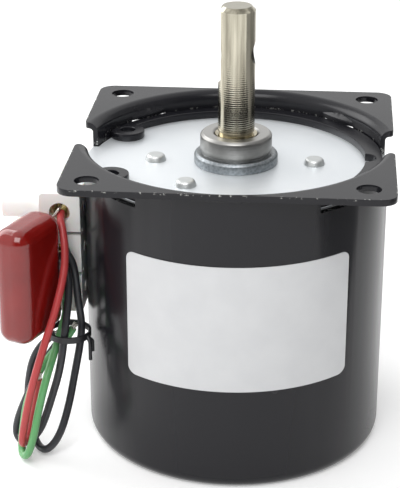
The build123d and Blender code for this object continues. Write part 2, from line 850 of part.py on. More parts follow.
def capacitor_legs():
    """Two tinned legs from the body's edge, bent up into the first and third barrels."""
    body_edge = Vector(-can_r - cap_from_can, cap_y, cap_base_z + cap_height / 2)
    body_edge += Vector(*polar(cap_length / 2, cap_turn))
    stub = Vector(*polar(cap_leg_stub, cap_turn))
    heights = way_heights()
    middle_z = (heights[0] + heights[-1]) / 2
    legs = []
    for z in (heights[0], heights[-1]):
        rim = body_edge + Vector(0, 0, z - middle_z)
        shoulder = Vector(insert_x, -block_half_width, z + cap_leg_rise)
        end = Vector(insert_x, -tower_half_pitch - terminal_screw_r, z + cap_leg_rise)
        leg = round_wire([rim, rim + stub, shoulder, end], cap_leg_r, [cap_leg_r, 2 * cap_leg_r])
        legs.append(leg.solid())
    return Compound(children=legs)


# ------------------------------------------------------------------ label and leads

def label():
    """Curved film with rounded corners."""
    inner = can_r + label_gap
    chord = 2 * inner * math.sin(label_width / (2 * inner))
    window = extrude(Plane.YZ * RectangleRounded(chord, label_height, label_corner_r), 2 * can_r)
    film = tube(inner + label_thickness, inner, -label_height, label_height)
    return Pos(0, 0, label_base_z + label_height / 2) * Rot(0, 0, label_angle) * (window & film)


def bend_radii(points):
    """Largest tangent arc that each corner of a route has room for."""
    radii = []
    for before, here, after in zip(points, points[1:], points[2:]):
        run_in = Vector(here) - Vector(before)
        run_out = Vector(after) - Vector(here)
        turn = math.radians(run_in.get_angle(run_out))
        radii.append(bend_share * min(run_in.length, run_out.length) / math.tan(turn / 2))
    return radii


def lead(name, route):
    """One insulated lead; prints its bend radii, length and volume."""
    radii = bend_radii(route)
    wire = round_wire(route, lead_r, radii)
    length = FilletPolyline(*route, radius=radii).length
    expected = math.pi * lead_r**2 * length
    print(name, "radii", [round(r, 1) for r in radii])
    print(name, "length", round(length, 1), "volume", round(wire.volume, 2), "of", round(expected, 2))
    return lead_start * wire


def twist_tie():
    """Strip round the hank; its two twisted ends hang beside the can."""
    inner_x = tie_half_x - tie_thickness
    inner_y = tie_half_y - tie_thickness
    band = Ellipse(tie_half_x, tie_half_y) - Ellipse(inner_x, inner_y)
    shape = Pos(0, 0, -tie_height / 2) * extrude(band, tie_height)
    knot = Vector(tie_half_x - tie_thickness / 2, 0, 0)
    for side, drop in zip((-1, 1), tie_tail_drops):
        elbow = knot + Vector(tie_tail_gap, side * tie_tail_gap / 2, -tie_tail_gap)
        tip = elbow - Vector(0, 0, drop - tie_tail_gap)
        shape += round_wire([knot, elbow, tip], tie_tail_r, [tie_tail_r * 2])
    return lead_start * Pos(-tie_out, tie_y, tie_z) * Rot(0, 0, tie_turn) * shape


nodes = {
    "can": can,
    "front_plate": front_plate,
    "retaining_ring": retaining_ring,
    "output_bushing": output_bushing,
    "gear_case": gear_case,
    "gear_arbors": gear_arbors,
    "plate_pillar": plate_pillar,
    "arbor_spacers": arbor_spacers,
    "claw_cup_lower": lambda: claw_cup(unit_0, 1, 0),
    "claw_plate_lower": lambda: claw_plate(unit_1, -1, half_step()),
    "claw_plate_upper": lambda: claw_plate(unit_1, 1, half_step() + unit_turn),
    "claw_cup_upper": lambda: claw_cup(case_base, -1, unit_turn),
    "bobbin_lower": lambda: bobbin(unit_0),
    "bobbin_upper": lambda: bobbin(unit_1),
    "winding_lower": lambda: winding(unit_0),
    "winding_upper": lambda: winding(unit_1),
    "rotor_bush_lower": rotor_bush_lower,
    "rotor_bush_upper": rotor_bush_upper,
    "rotor_shaft": rotor_shaft,
    "rotor_hub": rotor_hub,
    "rotor_magnet": rotor_magnet,
    "rotor_pinion": rotor_pinion,
    "gear_1_wheel": gear_1_wheel,
    "gear_1_pinion": gear_1_pinion,
    "gear_2_wheel": gear_2_wheel,
    "gear_2_pinion": gear_2_pinion,
    "output_gear": output_gear,
    "output_shaft": output_shaft,
    "output_washer": output_washer,
    "output_clip": output_clip,
    "terminal_block": terminal_block,
    "terminal_inserts": terminal_inserts,
    "terminal_screws": terminal_screws,
    "block_screws": block_screws,
    "capacitor": capacitor,
    "capacitor_legs": capacitor_legs,
    "label": label,
    "lead_red": lambda: lead("red", red_route),
    "lead_green": lambda: lead("green", green_route),
    "lead_black_1": lambda: lead("black 1", black_1_route),
    "lead_black_2": lambda: lead("black 2", black_2_route),
    "twist_tie": twist_tie,
}

os.makedirs("parts", exist_ok=True)
for name, make in nodes.items():
    export_step(make(), "parts/" + name + ".step")
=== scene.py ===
import bpy
import math
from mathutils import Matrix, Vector
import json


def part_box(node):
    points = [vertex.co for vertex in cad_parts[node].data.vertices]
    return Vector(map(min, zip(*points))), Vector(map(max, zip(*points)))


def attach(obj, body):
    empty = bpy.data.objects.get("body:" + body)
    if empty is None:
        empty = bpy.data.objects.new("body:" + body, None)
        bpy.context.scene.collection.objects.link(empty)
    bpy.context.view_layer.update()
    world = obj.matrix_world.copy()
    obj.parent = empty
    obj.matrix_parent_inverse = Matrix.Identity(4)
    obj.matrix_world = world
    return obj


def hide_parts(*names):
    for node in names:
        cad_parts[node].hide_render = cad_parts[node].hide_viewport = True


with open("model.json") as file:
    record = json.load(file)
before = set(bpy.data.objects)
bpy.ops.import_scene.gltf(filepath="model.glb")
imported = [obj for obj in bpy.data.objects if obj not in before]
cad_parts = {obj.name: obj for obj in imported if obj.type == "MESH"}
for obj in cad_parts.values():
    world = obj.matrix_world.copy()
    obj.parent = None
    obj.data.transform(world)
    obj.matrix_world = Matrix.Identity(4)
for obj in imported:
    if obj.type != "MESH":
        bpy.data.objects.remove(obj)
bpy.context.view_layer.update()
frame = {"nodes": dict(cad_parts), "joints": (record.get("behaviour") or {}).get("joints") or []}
nodes = frame["nodes"]

# ------------------------------------------------------------------ camera
# A long lens a third of a metre away looks down at the front of the motor, a little from
# its right, so the recessed plate, the label and the hank of leads all show.
camera = bpy.data.objects.new("camera", bpy.data.cameras.new("camera"))
bpy.context.scene.collection.objects.link(camera)
bpy.context.scene.camera = camera
camera.data.lens = 119.35
camera.data.sensor_width = 36.0
camera.data.clip_start = 0.01
camera.location = (0.01816, -0.29057, 0.16367)
aim = Vector((-0.006905, 0.0, 0.037598))
camera.rotation_euler = (aim - camera.location).to_track_quat("-Z", "Y").to_euler()
bpy.context.scene.view_settings.view_transform = "Standard"


# ------------------------------------------------------------------ daylight
# White daylight comes from all round but for a dark room behind the camera and to its
# right. Bare metal mirrors the two side by side, bright at the left and dark at the right.
def linear(code):
    """Linear RGBA of an sRGB hex colour."""
    parts = [int(code[i:i + 2], 16) / 255 for i in (1, 3, 5)]
    return [p / 12.92 if p <= 0.04045 else ((p + 0.055) / 1.055) ** 2.4 for p in parts] + [1.0]


def add(tree, kind, inputs=None, **settings):
    """Adds one shader node with its settings, values and links."""
    made = tree.nodes.new(kind)
    for name, value in settings.items():
        setattr(made, name, value)
    for name, value in (inputs or {}).items():
        if isinstance(value, bpy.types.NodeSocket):
            tree.links.new(value, made.inputs[name])
        else:
            made.inputs[name].default_value = value
    return made


DARK_ROOM = Vector((0.5, -0.82, 0.28)).normalized()
daylight = bpy.data.worlds.new("daylight")
bpy.context.scene.world = daylight
daylight.use_nodes = True
tree = daylight.node_tree
tree.nodes.clear()
towards = add(tree, "ShaderNodeTexCoord").outputs["Generated"]
# the dark is full up to 32 degrees from the middle of the room and gone at 75 degrees
room = add(tree, "ShaderNodeVectorMath", {0: towards, 1: DARK_ROOM}, operation="DOT_PRODUCT")
level = add(tree, "ShaderNodeMapRange",
            {"Value": room.outputs["Value"], "From Min": 0.25, "From Max": 0.85,
             "To Min": 1.0, "To Max": 0.12}, interpolation_type="SMOOTHSTEP")
# a camera that turns towards the dark room still sees white behind the motor
ray = add(tree, "ShaderNodeLightPath")
level = add(tree, "ShaderNodeMath", {0: level.outputs[0], 1: ray.outputs["Is Camera Ray"]},
            operation="MAXIMUM")
sky = add(tree, "ShaderNodeBackground", {"Color": linear("#FFFFFF"), "Strength": level.outputs[0]})
add(tree, "ShaderNodeOutputWorld", {"Surface": sky.outputs[0]})


# ------------------------------------------------------------------ floor
# A sheet of white paper under the motor. A glow of its own makes it white to the camera
# and in whatever mirrors it. The glow is left out of diffuse light, so the shadow stays.
FLOOR_GLOW = 0.22


def new_material(name):
    """An empty material and its node tree."""
    made = bpy.data.materials.new(name)
    made.use_nodes = True
    made.node_tree.nodes.clear()
    return made, made.node_tree


def white_paper():
    """Uncoated paper: matt, even and a little below full white."""
    material, tree = new_material("white_paper")
    paper = add(tree, "ShaderNodeBsdfDiffuse", {"Color": linear("#EEEEEE")})
    ray = add(tree, "ShaderNodeLightPath")
    seen = add(tree, "ShaderNodeMath",
               {0: ray.outputs["Is Camera Ray"], 1: ray.outputs["Is Glossy Ray"]}, operation="MAXIMUM")
    seen = add(tree, "ShaderNodeMath",
               {0: seen.outputs[0], 1: ray.outputs["Is Transmission Ray"]}, operation="MAXIMUM")
    lift = add(tree, "ShaderNodeMath", {0: seen.outputs[0], 1: FLOOR_GLOW}, operation="MULTIPLY")
    glow = add(tree, "ShaderNodeEmission", {"Color": linear("#FFFFFF"), "Strength": lift.outputs[0]})
    both = add(tree, "ShaderNodeAddShader", {0: paper.outputs[0], 1: glow.outputs[0]})
    add(tree, "ShaderNodeOutputMaterial", {"Surface": both.outputs[0]})
    return material


bpy.ops.object.select_all(action="DESELECT")
bpy.ops.mesh.primitive_plane_add(size=6.0, location=(0, 0, 0))
floor = bpy.context.object
floor.name = "floor"
floor.data.materials.append(white_paper())


# ------------------------------------------------------------------ soft boxes and card
# A large soft box above and in front lights the motor. A small one at the left draws the
# bright line down the left side of the shaft and the bushing. A grey card at the right,
# which the camera doesn't see, takes the daylight's place in what that side mirrors.
def soft_box(name, place, target, width, height, power):
    """Rectangular area lamp that faces a point."""
    lamp = bpy.data.objects.new(name, bpy.data.lights.new(name, "AREA"))
    bpy.context.scene.collection.objects.link(lamp)
    lamp.data.shape = "RECTANGLE"
    lamp.data.size = width
    lamp.data.size_y = height
    lamp.data.energy = power
    lamp.location = place
    lamp.rotation_euler = (Vector(target) - Vector(place)).to_track_quat("-Z", "Y").to_euler()


def grey_card():
    """Matt grey card: it takes light away and mirrors none."""
    material, tree = new_material("grey_card")
    card = add(tree, "ShaderNodeBsdfDiffuse", {"Color": linear("#A2A2A2")})
    add(tree, "ShaderNodeOutputMaterial", {"Surface": card.outputs[0]})
    return material


soft_box("box_front", place=(-0.03, -0.6, 0.78), target=(0, 0, 0.03), width=0.6, height=0.6, power=6.0)
soft_box("box_left", place=(-0.21, 0.1, 0.15), target=(-0.18, 0.09, 0), width=0.16, height=0.25, power=0.4)
bpy.ops.object.select_all(action="DESELECT")
bpy.ops.mesh.primitive_plane_add(size=0.22, location=(0.13, 0.04, 0.11), rotation=(0, math.radians(90), 0))
flag = bpy.context.object
flag.name = "grey_flag"
flag.visible_camera = False
flag.data.materials.append(grey_card())


# ------------------------------------------------------------------ leads
# Four flexible hook-up wires, extruded PVC over tinned strands. They come out of the ways
# of the terminal block, turn back up just above the floor and make a loose hank, with their
# stripped ends beside the tie.
LEAD_R = 0.00075
STRAND_R = 0.00017
STRAND_LENGTH = 0.0016
STRAND_HIDDEN = 0.0002
STRAND_EDGE = 0.00003


def cells(mm):
    """Texture scale at which one cell of the pattern is this many millimetres wide."""
    return 1000 / mm


def extruded_pvc(name, code):
    """Extruded PVC: a soft gloss, a trace of light inside, and a skin that is never quite even."""
    material, tree = new_material(name)
    place = add(tree, "ShaderNodeTexCoord").outputs["Object"]
    # the die leaves waves 4 mm long. The skin's matt bloom is drawn half a millimetre wide, because
    # its real 0.1 mm doesn't show
    wave = add(tree, "ShaderNodeTexNoise", {"Vector": place, "Scale": cells(3.85), "Detail": 3.0})
    bloom = add(tree, "ShaderNodeTexNoise", {"Vector": place, "Scale": cells(0.455), "Detail": 3.0})
    shade = add(tree, "ShaderNodeMapRange", {"Value": wave.outputs["Fac"], "To Min": 0.82, "To Max": 1.14})
    tint = add(tree, "ShaderNodeVectorMath", {0: linear(code)[:3], 1: shade.outputs[0]},
               operation="MULTIPLY")
    gloss = add(tree, "ShaderNodeMapRange", {"Value": bloom.outputs["Fac"], "To Min": 0.24, "To Max": 0.44})
    skin = add(tree, "ShaderNodeBump",
               {"Strength": 0.25, "Distance": 0.00004, "Height": bloom.outputs["Fac"]})
    shader = add(tree, "ShaderNodeBsdfPrincipled",
                 {"Base Color": tint.outputs[0], "Roughness": gloss.outputs[0], "Normal": skin.outputs[0],
                  "Subsurface Weight": 0.12, "Subsurface Scale": 0.0004})
    add(tree, "ShaderNodeOutputMaterial", {"Surface": shader.outputs[0]})
    return material


def hot_tinned_copper():
    """Hot-dipped tin: bright white metal with duller patches half a millimetre wide."""
    material, tree = new_material("hot_tinned_copper")
    place = add(tree, "ShaderNodeTexCoord").outputs["Object"]
    dull = add(tree, "ShaderNodeTexNoise", {"Vector": place, "Scale": cells(0.556), "Detail": 3.0})
    gloss = add(tree, "ShaderNodeMapRange", {"Value": dull.outputs["Fac"], "To Min": 0.14, "To Max": 0.38})
    tint = add(tree, "ShaderNodeMix",
               {"Factor": dull.outputs["Fac"], "A": linear("#B9B7AF"), "B": linear("#E2E0D8")},
               data_type="RGBA")
    shader = add(tree, "ShaderNodeBsdfPrincipled",
                 {"Base Color": tint.outputs["Result"], "Metallic": 1.0, "Roughness": gloss.outputs[0]})
    add(tree, "ShaderNodeOutputMaterial", {"Surface": shader.outputs[0]})
    return material


tinned = hot_tinned_copper()


def stripped_end(name, end, before):
    """Seven strands, one with six round it, that stand out of a lead's cut end."""
    turn = (Vector(end) - Vector(before)).to_track_quat("Z", "Y")
    strands = []
    for i in range(7):
        out = 0 if i == 0 else 2 * STRAND_R
        angle = math.radians(60 * i)
        along = STRAND_LENGTH / 2 - STRAND_HIDDEN
        middle = Vector((out * math.cos(angle), out * math.sin(angle), along))
        middle.rotate(turn)
        bpy.ops.object.select_all(action="DESELECT")
        bpy.ops.mesh.primitive_cylinder_add(vertices=10, radius=STRAND_R, depth=STRAND_LENGTH,
                                            location=Vector(end) + middle, rotation=turn.to_euler())
        strands.append(bpy.context.object)
    bpy.ops.object.select_all(action="DESELECT")
    for strand in strands:
        strand.select_set(True)
    bpy.context.view_layer.objects.active = strands[0]
    bpy.ops.object.join()
    bpy.ops.object.transform_apply(location=True, rotation=True, scale=True)
    made = bpy.context.object
    made.name = name
    bevel = made.modifiers.new("cut", "BEVEL")
    bevel.width = STRAND_EDGE
    bevel.segments = 2
    bevel.limit_method = "ANGLE"
    bpy.ops.object.modifier_apply(modifier="cut")
    bpy.ops.object.shade_smooth_by_angle(angle=math.radians(40))
    made.data.materials.append(tinned)
    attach(made, "motor")
    return made


def lead(name, node, material, points):
    """Insulated lead along a NURBS curve through the hank, with its stripped end."""
    data = bpy.data.curves.new(name, "CURVE")
    data.dimensions = "3D"
    data.bevel_depth = LEAD_R
    data.bevel_resolution = 7
    data.resolution_u = 12
    data.use_fill_caps = True
    spline = data.splines.new("NURBS")
    spline.points.add(len(points) - 1)
    for point, (x, y, z) in zip(spline.points, points):
        point.co = (x, y, z, 1)
    spline.order_u = 3
    spline.use_endpoint_u = True
    made = bpy.data.objects.new(name, data)
    bpy.context.scene.collection.objects.link(made)
    data.materials.append(material)
    end = stripped_end(name + "_end", points[-1], points[-2])
    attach(made, "motor")
    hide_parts(node)


lead("red_lead", "lead_red", extruded_pvc("red_pvc_skin", "#B43F40"), [
    (-.0329, -.0073, .0463), (-.0328, -.0096, .0461), (-.0321, -.0112, .0447), (-.0314, -.0131, .0415),
    (-.0313, -.0150, .0376), (-.0326, -.0184, .0312), (-.0347, -.0216, .0246), (-.0366, -.0229, .0182),
    (-.0379, -.0232, .0128), (-.0388, -.0234, .0082), (-.0394, -.0233, .0046), (-.0392, -.0215, .0035),
    (-.0386, -.0197, .0044), (-.0379, -.0193, .0082), (-.0370, -.0188, .0122), (-.0364, -.0189, .0163),
])
lead("green_lead", "lead_green", extruded_pvc("green_pvc_skin", "#63A569"), [
    (-.0327, -.0071, .0298), (-.0323, -.0099, .0297), (-.0316, -.0124, .0280), (-.0326, -.0151, .0244),
    (-.0336, -.0163, .0210), (-.0346, -.0213, .0175), (-.0361, -.0224, .0111), (-.0369, -.0240, .0063),
    (-.0382, -.0239, .0022), (-.0397, -.0218, .0010), (-.0402, -.0197, .0026), (-.0399, -.0188, .0060),
    (-.0391, -.0182, .0109), (-.0371, -.0173, .0164), (-.0343, -.0150, .0202), (-.0319, -.0138, .0222),
    (-.0303, -.0138, .0250),
])
black_skin = extruded_pvc("black_pvc_skin", "#2E2F33")
lead("black_lead_1", "lead_black_1", black_skin, [
    (-.0334, -.0071, .0374), (-.0328, -.0097, .0373), (-.0312, -.0122, .0363), (-.0308, -.0138, .0326),
    (-.0313, -.0164, .0263), (-.0322, -.0183, .0186), (-.0342, -.0187, .0118), (-.0361, -.0191, .0059),
    (-.0382, -.0187, .0029), (-.0404, -.0175, .0013), (-.0420, -.0162, .0024), (-.0417, -.0157, .0054),
    (-.0400, -.0158, .0098), (-.0375, -.0153, .0153), (-.0350, -.0136, .0195), (-.0332, -.0122, .0216),
])
lead("black_lead_2", "lead_black_2", black_skin, [
    (-.0327, -.0071, .0390), (-.0320, -.0094, .0392), (-.0304, -.0106, .0374), (-.0299, -.0109, .0337),
    (-.0295, -.0114, .0296), (-.0288, -.0118, .0250), (-.0292, -.0130, .0208), (-.0301, -.0144, .0158),
    (-.0311, -.0166, .0097), (-.0326, -.0194, .0043), (-.0350, -.0205, .0014), (-.0373, -.0180, .0009),
    (-.0388, -.0156, .0030), (-.0398, -.0140, .0076), (-.0397, -.0132, .0126), (-.0386, -.0128, .0179),
    (-.0361, -.0124, .0215), (-.0340, -.0125, .0230),
])


# ------------------------------------------------------------------ can
# Deep-drawn steel cup in one piece with its flange, stove-enamelled black after the lances
# were struck. The enamel is thin on the sheared edges, where handling has chipped it.
FLANGE_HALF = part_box("can")[1].x
FLANGE_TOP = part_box("can")[1].z
RIM_START = FLANGE_HALF - 0.00028
RIM_FULL = FLANGE_HALF - 0.00012
RIM_LOW = FLANGE_TOP - 0.0004
RIM_HIGH = FLANGE_TOP - 0.0002
LIP_REACH = 0.02902
LIP_LOW = 0.0545
LIP_HIGH = 0.0569
SAME_POINT = 0.000002


def dress(name, material, edge=0.0001):
    """Gives a CAD node its material, joins its faces and rounds its sharp edges."""
    piece = nodes[name]
    piece.data.materials.clear()
    piece.data.materials.append(material)
    if edge:
        weld = piece.modifiers.new("weld", "WELD")
        weld.merge_threshold = SAME_POINT
        bevel = piece.modifiers.new("edges", "BEVEL")
        bevel.width = edge
        bevel.segments = 2
        bevel.limit_method = "ANGLE"
        bevel.angle_limit = math.radians(40)
        bevel.use_clamp_overlap = True


def black_enamel(name, chipped=False):
    """Stoved enamel: wet gloss over a fine orange peel, with caught dust and chips down to bright steel."""
    material, tree = new_material(name)
    place = add(tree, "ShaderNodeTexCoord").outputs["Object"]
    # the coat flows out over a couple of centimetres and its orange peel is a millimetre wide
    flow = add(tree, "ShaderNodeTexNoise", {"Vector": place, "Scale": cells(22.2), "Detail": 4.0})
    peel = add(tree, "ShaderNodeTexNoise", {"Vector": place, "Scale": cells(1.0), "Detail": 1.0})
    # specks of dust lie about 3 mm apart
    dust = add(tree, "ShaderNodeTexVoronoi", {"Vector": place, "Scale": cells(3.03)})
    speck = add(tree, "ShaderNodeMapRange",
                {"Value": dust.outputs["Distance"], "From Min": 0.03, "From Max": 0.12,
                 "To Min": 0.7, "To Max": 0.0})
    height = add(tree, "ShaderNodeMath", {0: speck.outputs[0], 1: peel.outputs["Fac"]}, operation="ADD")
    relief = add(tree, "ShaderNodeBump", {"Strength": 0.06, "Distance": 0.00003, "Height": height.outputs[0]})
    gloss = add(tree, "ShaderNodeMapRange", {"Value": flow.outputs["Fac"], "To Min": 0.19, "To Max": 0.31})
    coat = add(tree, "ShaderNodeBsdfPrincipled",
               {"Base Color": linear("#19191D"), "Roughness": gloss.outputs[0],
                "Normal": relief.outputs[0], "IOR": 1.38})
    if not chipped:
        add(tree, "ShaderNodeOutputMaterial", {"Surface": coat.outputs[0]})
        return material
    # the flange's rim is where |x| or |y| reaches its half width, and it is chipped near the top
    part = add(tree, "ShaderNodeSeparateXYZ", {0: place})
    out_x = add(tree, "ShaderNodeMath", {0: part.outputs[0]}, operation="ABSOLUTE")
    out_y = add(tree, "ShaderNodeMath", {0: part.outputs[1]}, operation="ABSOLUTE")
    out = add(tree, "ShaderNodeMath", {0: out_x.outputs[0], 1: out_y.outputs[0]}, operation="MAXIMUM")
    rim = add(tree, "ShaderNodeMapRange",
              {"Value": out.outputs[0], "From Min": RIM_START, "From Max": RIM_FULL})
    high = add(tree, "ShaderNodeMapRange",
               {"Value": part.outputs[2], "From Min": RIM_LOW, "From Max": RIM_HIGH})
    rim = add(tree, "ShaderNodeMath", {0: rim.outputs[0], 1: high.outputs[0]}, operation="MULTIPLY")
    # the lances' sheared lips lie inside the can's outer face, between two heights
    flat = add(tree, "ShaderNodeVectorMath", {0: place, 1: (1, 1, 0)}, operation="MULTIPLY")
    radius = add(tree, "ShaderNodeVectorMath", {0: flat.outputs[0]}, operation="LENGTH")
    inside = add(tree, "ShaderNodeMath", {0: radius.outputs["Value"], 1: LIP_REACH}, operation="LESS_THAN")
    above = add(tree, "ShaderNodeMath", {0: part.outputs[2], 1: LIP_LOW}, operation="GREATER_THAN")
    below = add(tree, "ShaderNodeMath", {0: part.outputs[2], 1: LIP_HIGH}, operation="LESS_THAN")
    lip = add(tree, "ShaderNodeMath", {0: inside.outputs[0], 1: above.outputs[0]}, operation="MULTIPLY")
    lip = add(tree, "ShaderNodeMath", {0: lip.outputs[0], 1: below.outputs[0]}, operation="MULTIPLY")
    where = add(tree, "ShaderNodeMath", {0: rim.outputs[0], 1: lip.outputs[0]}, operation="MAXIMUM")
    # a chip is up to a millimetre and a half across
    knock = add(tree, "ShaderNodeTexNoise",
                {"Vector": place, "Scale": cells(1.43), "Detail": 5.0, "Roughness": 0.7})
    chip = add(tree, "ShaderNodeMapRange",
               {"Value": knock.outputs["Fac"], "From Min": 0.57, "From Max": 0.61})
    bare = add(tree, "ShaderNodeMath", {0: where.outputs[0], 1: chip.outputs[0]}, operation="MULTIPLY")
    steel = add(tree, "ShaderNodeBsdfPrincipled",
                {"Base Color": linear("#B4B4B0"), "Metallic": 1.0, "Roughness": 0.42,
                 "Normal": relief.outputs[0]})
    mixed = add(tree, "ShaderNodeMixShader", {0: bare.outputs[0], 1: coat.outputs[0], 2: steel.outputs[0]})
    add(tree, "ShaderNodeOutputMaterial", {"Surface": mixed.outputs[0]})
    return material


dress("can", black_enamel("stoved_enamel", chipped=True), edge=0.00025)


# ------------------------------------------------------------------ retaining ring
# Blanked spring steel circlip, phosphated and dipped in the can's enamel. It lies on the
# front plate under the four lances and is open at the terminal block's side.
dipped_enamel = black_enamel("dipped_enamel")
dress("retaining_ring", dipped_enamel, edge=0.0002)


# ------------------------------------------------------------------ front plate
# Blanked steel disc, zinc plated and passivated clear, whose two tabs sit in the can's notches.
# Its rim is banded by the press's shear, torn and burnished, with painted shade in the dark bands.
PLATE_R = 0.028
PLATE_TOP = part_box("front_plate")[1].z
# the rim wall under the top face carries the shear's bands and the painted shade of the rim behind the can's
# wall
SHEAR_SHADE_START = PLATE_R - 0.0003
SHEAR_SHADE_FULL = PLATE_R - 0.0002
SHEAR_SHADE_LOW = PLATE_TOP - 0.00015
SHEAR_SHADE_HIGH = PLATE_TOP - 0.0001


def bands(mm):
    """Wave texture scale at which the bands are this many millimetres apart."""
    return 1000 * 2 * math.pi / (20 * mm)


def clear_zinc():
    """Clear-passivated zinc on rolled sheet: a cold white that mirrors softly, with faint straight grain, and
    a rim banded by the shear with painted shade in its dark bands.
    """
    material, tree = new_material("clear_zinc")
    place = add(tree, "ShaderNodeTexCoord").outputs["Object"]
    # the plating's clouds are over a centimetre wide
    cloud = add(tree, "ShaderNodeTexNoise", {"Vector": place, "Scale": cells(13.3), "Detail": 4.0})
    # rolling left grain along X, 6 mm long and under half a millimetre wide
    rolled = add(tree, "ShaderNodeMapping",
                 {"Vector": place, "Scale": (cells(6.25), cells(0.385), cells(6.25))})
    grain = add(tree, "ShaderNodeTexNoise", {"Vector": rolled.outputs[0], "Scale": 1.0, "Detail": 3.0})
    # its crystals are drawn 0.7 mm wide, because real ones are far too fine to show
    crystal = add(tree, "ShaderNodeTexVoronoi", {"Vector": place, "Scale": cells(0.714)})
    face = add(tree, "ShaderNodeMix",
               {"Factor": cloud.outputs["Fac"], "A": linear("#DBE0E4"), "B": linear("#E9ECEE")},
               data_type="RGBA")
    gloss = add(tree, "ShaderNodeMapRange", {"Value": cloud.outputs["Fac"], "To Min": 0.36, "To Max": 0.46})
    height = add(tree, "ShaderNodeMath", {0: crystal.outputs["Distance"], 1: grain.outputs["Fac"]},
                 operation="ADD")
    relief = add(tree, "ShaderNodeBump", {"Strength": 0.08, "Distance": 0.00002, "Height": height.outputs[0]})
    flat = add(tree, "ShaderNodeVectorMath", {0: place, 1: (1, 1, 0)}, operation="MULTIPLY")
    radius = add(tree, "ShaderNodeVectorMath", {0: flat.outputs[0]}, operation="LENGTH")
    rim = add(tree, "ShaderNodeMapRange",
              {"Value": radius.outputs["Value"], "From Min": SHEAR_SHADE_START, "From Max": SHEAR_SHADE_FULL})
    depth = add(tree, "ShaderNodeSeparateXYZ", {0: place})
    under = add(tree, "ShaderNodeMapRange",
                {"Value": depth.outputs[2], "From Min": SHEAR_SHADE_LOW, "From Max": SHEAR_SHADE_HIGH,
                 "To Min": 1.0, "To Max": 0.0})
    rim = add(tree, "ShaderNodeMath", {0: rim.outputs[0], 1: under.outputs[0]}, operation="MULTIPLY")
    # the rim's bands lie 0.6 mm apart: a near-black one, which is painted shade as well as the torn shear,
    # and a pale burnished one
    shear_shade_bands = add(tree, "ShaderNodeTexWave", {"Vector": place, "Scale": bands(0.6), "Distortion": 1.0},
               bands_direction="Z")
    shear_and_shade = add(tree, "ShaderNodeMix",
                {"Factor": shear_shade_bands.outputs["Fac"], "A": linear("#151516"), "B": linear("#8A8C8E")},
                data_type="RGBA")
    tint = add(tree, "ShaderNodeMix",
               {"Factor": rim.outputs[0], "A": face.outputs["Result"], "B": shear_and_shade.outputs["Result"]},
               data_type="RGBA")
    # the passivate is a thin clear film, so the metal is shown partly as a pale solid colour
    shader = add(tree, "ShaderNodeBsdfPrincipled",
                 {"Base Color": tint.outputs["Result"], "Metallic": 0.55, "Roughness": gloss.outputs[0],
                  "Normal": relief.outputs[0]})
    add(tree, "ShaderNodeOutputMaterial", {"Surface": shader.outputs[0]})
    return material


zinc = clear_zinc()
dress("front_plate", zinc, edge=0.00012)


# ------------------------------------------------------------------ stator
# Four pressings of soft electrical steel make two claw-pole units: cup, plate, plate, cup.
# The sheet is left bare and oiled, so it is grey with bluish clouds from annealing.
def bare_metal(name, light, dark, rough, cloud, grain):
    """Bare or plated metal: colour drifts in clouds, and gloss along the grain's three cell sizes in mm."""
    material, tree = new_material(name)
    place = add(tree, "ShaderNodeTexCoord").outputs["Object"]
    drift = add(tree, "ShaderNodeTexNoise", {"Vector": place, "Scale": cells(cloud), "Detail": 4.0})
    lay = add(tree, "ShaderNodeMapping", {"Vector": place, "Scale": [cells(mm) for mm in grain]})
    fine = add(tree, "ShaderNodeTexNoise", {"Vector": lay.outputs[0], "Scale": 1.0, "Detail": 3.0})
    tint = add(tree, "ShaderNodeMix",
               {"Factor": drift.outputs["Fac"], "A": linear(dark), "B": linear(light)}, data_type="RGBA")
    gloss = add(tree, "ShaderNodeMapRange",
                {"Value": fine.outputs["Fac"], "To Min": rough - 0.08, "To Max": rough + 0.08})
    relief = add(tree, "ShaderNodeBump",
                 {"Strength": 0.15, "Distance": 0.00002, "Height": fine.outputs["Fac"]})
    shader = add(tree, "ShaderNodeBsdfPrincipled",
                 {"Base Color": tint.outputs["Result"], "Metallic": 1.0, "Roughness": gloss.outputs[0],
                  "Normal": relief.outputs[0]})
    add(tree, "ShaderNodeOutputMaterial", {"Surface": shader.outputs[0]})
    return material


annealed = bare_metal("annealed_sheet", "#B4B8BD", "#8A8F98", 0.42, cloud=12, grain=(3.33, 0.417, 3.33))
for name in ("claw_cup_lower", "claw_plate_lower", "claw_plate_upper", "claw_cup_upper"):
    dress(name, annealed)


